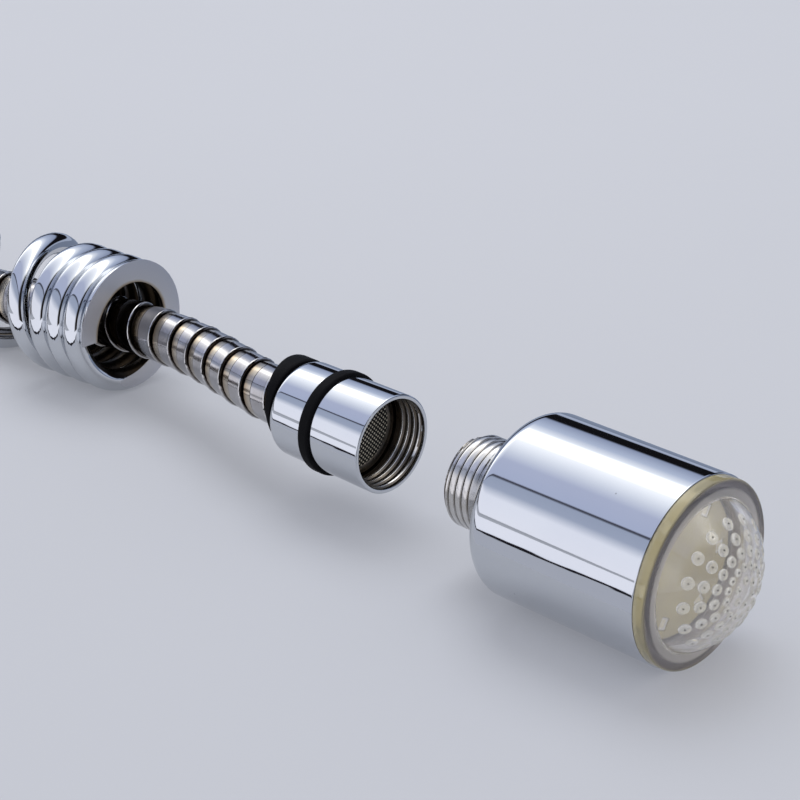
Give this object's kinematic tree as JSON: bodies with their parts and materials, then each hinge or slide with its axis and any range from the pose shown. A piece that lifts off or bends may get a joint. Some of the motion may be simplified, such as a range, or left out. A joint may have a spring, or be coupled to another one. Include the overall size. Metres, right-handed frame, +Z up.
{
  "type": "handheld bath sprayer",
  "caption": "Handheld bath sprayer: chrome spray head with a clear lit dome face, unscrewed from a ribbed steel hose that runs through a chrome spring.",
  "frame": {"origin": "middle of the floor outline of the head, coupling and spring, on the floor they lie on; the free hose and its supply end are left out", "axes": "+X along the spray head and coupling, towards the spray face; +Z up"},
  "size_m": [0.5153, 0.2028, 0.041],
  "materials": {
    "chrome": "polished",
    "clear_face": "clear",
    "black_rubber": "satin",
    "mesh_steel": "satin",
    "brass": "machined",
    "cream_plastic": "matte",
    "light_lens": "gloss",
    "board_green": "matte",
    "white_plastic": "satin",
    "copper": "enamelled",
    "magnet": "matte",
    "hose_steel": "polished",
    "inner_rubber": "matte",
    "spring_chrome": "polished",
    "free_hose": "polished"
  },
  "bodies": {
    "base": {"hose_ferrule": "brass", "neck_washer": "black_rubber", "strainer": "mesh_steel", "rear_band": "black_rubber", "hose_jacket": "hose_steel", "inner_hose": "inner_rubber", "spring_coil": "spring_chrome", "hose_tail": "free_hose", "hose_coil": "free_hose", "end_ferrule": "brass", "end_washer": "black_rubber"},
    "head": {"head_shell": "chrome", "spray_face": "clear_face", "face_seal": "black_rubber", "light_cover": "cream_plastic", "lights": "light_lens", "light_board": "board_green", "generator_cup": "white_plastic", "winding": "copper", "front_bush": "brass", "rear_bush": "brass", "swirl_plate": "white_plastic"},
    "turbine": {"turbine_shaft": "mesh_steel", "turbine_wheel": "white_plastic", "magnet_rotor": "magnet"},
    "coupling": {"coupling_sleeve": "chrome", "front_band": "black_rubber"},
    "supply_nut": {"end_nut": "chrome"}
  },
  "joints": [
    {"name": "head_draw", "type": "slide", "parent": "base", "child": "head", "axis": [1, 0, 0], "range_m": [-0.0331, 0]},
    {"name": "coupling_swivel", "type": "hinge", "parent": "base", "child": "coupling", "pos_m": [0.05595, -0.00242, 0.0205], "axis": [1, 0, 0], "continuous": true},
    {"name": "turbine_spin", "type": "hinge", "parent": "head", "child": "turbine", "pos_m": [0.12495, -0.00242, 0.0205], "axis": [1, 0, 0], "continuous": true},
    {"name": "supply_nut_swivel", "type": "hinge", "parent": "base", "child": "supply_nut", "pos_m": [-0.22706, -0.03086, 0.0285], "axis": [-0.7698, 0.6383, 0], "continuous": true}
  ]
}
